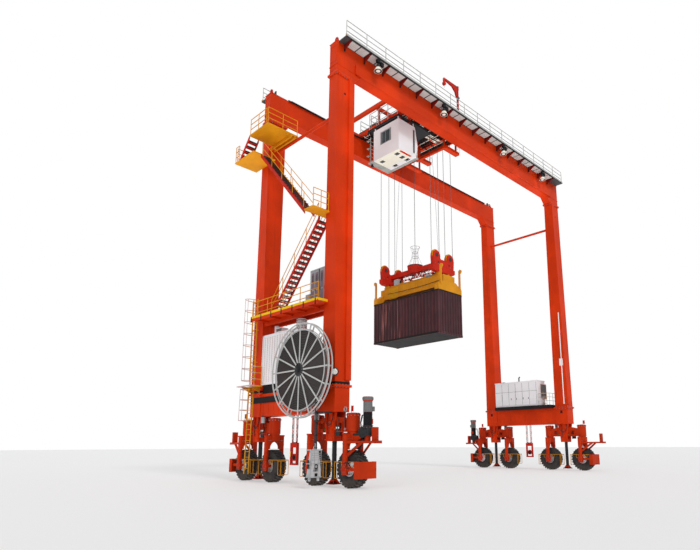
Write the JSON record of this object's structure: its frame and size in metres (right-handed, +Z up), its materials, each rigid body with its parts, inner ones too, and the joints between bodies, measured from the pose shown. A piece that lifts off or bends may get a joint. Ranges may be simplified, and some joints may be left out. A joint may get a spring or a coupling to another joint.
{
  "type": "rubber tyred gantry crane",
  "caption": "Rubber tyred gantry crane with portal frames, steerable wheel bogies, trolley with cab, roped spreader holding a box container, cable reel, stairs and davit.",
  "frame": {"origin": "on the ground, at the middle of the crane's bounding box", "axes": "+X across the lane towards the generator side, +Y along the travel direction towards the far portal frame, +Z up"},
  "size_m": [26.26, 12.86, 26.1603],
  "materials": {
    "orange_paint": "gloss enamel, slightly weathered",
    "red_paint": "gloss enamel",
    "yellow_paint": "gloss enamel",
    "spreader_yellow": "gloss enamel, worn at the edges",
    "white_paint": "gloss enamel",
    "cabinet_paint": "satin powder coat",
    "pale_rail_paint": "satin enamel",
    "grey_paint": "satin enamel",
    "black_paint": "satin enamel",
    "galvanised": "galvanised grating and plate",
    "rail_steel": "rolled steel, dark",
    "rope_steel": "greased wire rope",
    "cable_rubber": "matt rubber sheath",
    "tyre_rubber": "matt tread rubber on a painted rim",
    "container_paint": "matt enamel, scuffed"
  },
  "bodies": {
    "frame": {"near_girder": "orange_paint", "far_girder": "orange_paint", "near_legs": "orange_paint", "far_legs": "orange_paint", "sill_beams": "orange_paint", "leg_brackets": "orange_paint", "tie_pipes": "orange_paint", "cable_ducts": "orange_paint", "crane_rails": "rail_steel", "lifting_lugs": "red_paint", "walkway_decks": "galvanised", "walkway_railings": "pale_rail_paint", "floodlights": "grey_paint", "davit_post": "red_paint", "electrical_platform": "yellow_paint", "electrical_cabinets": "cabinet_paint", "transformer_cabinet": "white_paint", "stair_flights": "red_paint", "stair_landings": "yellow_paint", "stair_railings": "yellow_paint", "ladders": "yellow_paint", "reel_stand": "grey_paint", "cable_guide": "cabinet_paint", "generator_base": "grey_paint", "generator_house": "white_paint", "cable_trays": "black_paint", "storm_anchors": "red_paint"},
    "trolley": {"trolley_frame": "orange_paint", "trolley_deck": "galvanised", "trolley_railings": "pale_rail_paint", "operator_cab": "white_paint", "cab_walkway": "galvanised", "hoist_machinery": "grey_paint", "hoist_ropes": "rope_steel"},
    "spreader": {"headblock": "red_paint", "spreader_beam": "spreader_yellow", "container": "container_paint"},
    "reel": {"cable_reel": "pale_rail_paint", "reel_cable": "cable_rubber"},
    "davit": {"davit_jib": "red_paint"},
    "bogie_nl": {"balance_beam_nl": "orange_paint"},
    "fork_body_nl_out": {"fork_nl_out": "orange_paint"},
    "wheel_body_nl_out": {"wheel_nl_out": "tyre_rubber"},
    "fork_body_nl_in": {"fork_nl_in": "orange_paint"},
    "wheel_body_nl_in": {"wheel_nl_in": "tyre_rubber"},
    "bogie_fl": {"balance_beam_fl": "orange_paint"},
    "fork_body_fl_out": {"fork_fl_out": "orange_paint"},
    "wheel_body_fl_out": {"wheel_fl_out": "tyre_rubber"},
    "fork_body_fl_in": {"fork_fl_in": "orange_paint"},
    "wheel_body_fl_in": {"wheel_fl_in": "tyre_rubber"},
    "bogie_nr": {"balance_beam_nr": "orange_paint"},
    "fork_body_nr_out": {"fork_nr_out": "orange_paint"},
    "wheel_body_nr_out": {"wheel_nr_out": "tyre_rubber"},
    "fork_body_nr_in": {"fork_nr_in": "orange_paint"},
    "wheel_body_nr_in": {"wheel_nr_in": "tyre_rubber"},
    "bogie_fr": {"balance_beam_fr": "orange_paint"},
    "fork_body_fr_out": {"fork_fr_out": "orange_paint"},
    "wheel_body_fr_out": {"wheel_fr_out": "tyre_rubber"},
    "fork_body_fr_in": {"fork_fr_in": "orange_paint"},
    "wheel_body_fr_in": {"wheel_fr_in": "tyre_rubber"}
  },
  "joints": [
    {"name": "trolley_travel", "type": "slide", "parent": "frame", "child": "trolley", "axis": [1, 0, 0], "range_m": [-5.2, 10.6]},
    {"name": "hoist", "type": "slide", "parent": "trolley", "child": "spreader", "axis": [0, 0, 1], "range_m": [-8.7, 5], "deforming": ["hoist_ropes"]},
    {"name": "reel_spin", "type": "hinge", "parent": "frame", "child": "reel", "pos_m": [-12.43, -2.27, 5.62], "axis": [1, 0, 0], "continuous": true},
    {"name": "davit_swing", "type": "hinge", "parent": "frame", "child": "davit", "pos_m": [-1.395, -4.09, 26], "axis": [0, 0, 1], "range_deg": [0, 180]},
    {"name": "bogie_nl_rock", "type": "hinge", "parent": "frame", "child": "bogie_nl", "pos_m": [-11.03, -3.3, 2.97], "axis": [1, 0, 0], "range_deg": [-2, 2]},
    {"name": "steer_nl_out", "type": "hinge", "parent": "bogie_nl", "child": "fork_body_nl_out", "pos_m": [-11.03, -4.67, 2.587], "axis": [0, 0, 1], "range_deg": [-90, 0]},
    {"name": "wheel_nl_out_spin", "type": "hinge", "parent": "fork_body_nl_out", "child": "wheel_body_nl_out", "pos_m": [-11.03, -4.67, 0.875], "axis": [1, 0, 0], "continuous": true},
    {"name": "steer_nl_in", "type": "hinge", "parent": "bogie_nl", "child": "fork_body_nl_in", "pos_m": [-11.03, -1.93, 2.587], "axis": [0, 0, 1], "range_deg": [-90, 0]},
    {"name": "wheel_nl_in_spin", "type": "hinge", "parent": "fork_body_nl_in", "child": "wheel_body_nl_in", "pos_m": [-11.03, -1.93, 0.875], "axis": [1, 0, 0], "continuous": true},
    {"name": "bogie_fl_rock", "type": "hinge", "parent": "frame", "child": "bogie_fl", "pos_m": [-11.03, 3.3, 2.97], "axis": [1, 0, 0], "range_deg": [-2, 2]},
    {"name": "steer_fl_out", "type": "hinge", "parent": "bogie_fl", "child": "fork_body_fl_out", "pos_m": [-11.03, 4.67, 2.587], "axis": [0, 0, 1], "range_deg": [-90, 0]},
    {"name": "wheel_fl_out_spin", "type": "hinge", "parent": "fork_body_fl_out", "child": "wheel_body_fl_out", "pos_m": [-11.03, 4.67, 0.875], "axis": [1, 0, 0], "continuous": true},
    {"name": "steer_fl_in", "type": "hinge", "parent": "bogie_fl", "child": "fork_body_fl_in", "pos_m": [-11.03, 1.93, 2.587], "axis": [0, 0, 1], "range_deg": [-90, 0]},
    {"name": "wheel_fl_in_spin", "type": "hinge", "parent": "fork_body_fl_in", "child": "wheel_body_fl_in", "pos_m": [-11.03, 1.93, 0.875], "axis": [1, 0, 0], "continuous": true},
    {"name": "bogie_nr_rock", "type": "hinge", "parent": "frame", "child": "bogie_nr", "pos_m": [12.44, -3.3, 2.97], "axis": [1, 0, 0], "range_deg": [-2, 2]},
    {"name": "steer_nr_out", "type": "hinge", "parent": "bogie_nr", "child": "fork_body_nr_out", "pos_m": [12.44, -4.67, 2.587], "axis": [0, 0, 1], "range_deg": [-90, 0]},
    {"name": "wheel_nr_out_spin", "type": "hinge", "parent": "fork_body_nr_out", "child": "wheel_body_nr_out", "pos_m": [12.44, -4.67, 0.875], "axis": [1, 0, 0], "continuous": true},
    {"name": "steer_nr_in", "type": "hinge", "parent": "bogie_nr", "child": "fork_body_nr_in", "pos_m": [12.44, -1.93, 2.587], "axis": [0, 0, 1], "range_deg": [-90, 0]},
    {"name": "wheel_nr_in_spin", "type": "hinge", "parent": "fork_body_nr_in", "child": "wheel_body_nr_in", "pos_m": [12.44, -1.93, 0.875], "axis": [1, 0, 0], "continuous": true},
    {"name": "bogie_fr_rock", "type": "hinge", "parent": "frame", "child": "bogie_fr", "pos_m": [12.44, 3.3, 2.97], "axis": [1, 0, 0], "range_deg": [-2, 2]},
    {"name": "steer_fr_out", "type": "hinge", "parent": "bogie_fr", "child": "fork_body_fr_out", "pos_m": [12.44, 4.67, 2.587], "axis": [0, 0, 1], "range_deg": [-90, 0]},
    {"name": "wheel_fr_out_spin", "type": "hinge", "parent": "fork_body_fr_out", "child": "wheel_body_fr_out", "pos_m": [12.44, 4.67, 0.875], "axis": [1, 0, 0], "continuous": true},
    {"name": "steer_fr_in", "type": "hinge", "parent": "bogie_fr", "child": "fork_body_fr_in", "pos_m": [12.44, 1.93, 2.587], "axis": [0, 0, 1], "range_deg": [-90, 0]},
    {"name": "wheel_fr_in_spin", "type": "hinge", "parent": "fork_body_fr_in", "child": "wheel_body_fr_in", "pos_m": [12.44, 1.93, 0.875], "axis": [1, 0, 0], "continuous": true}
  ]
}
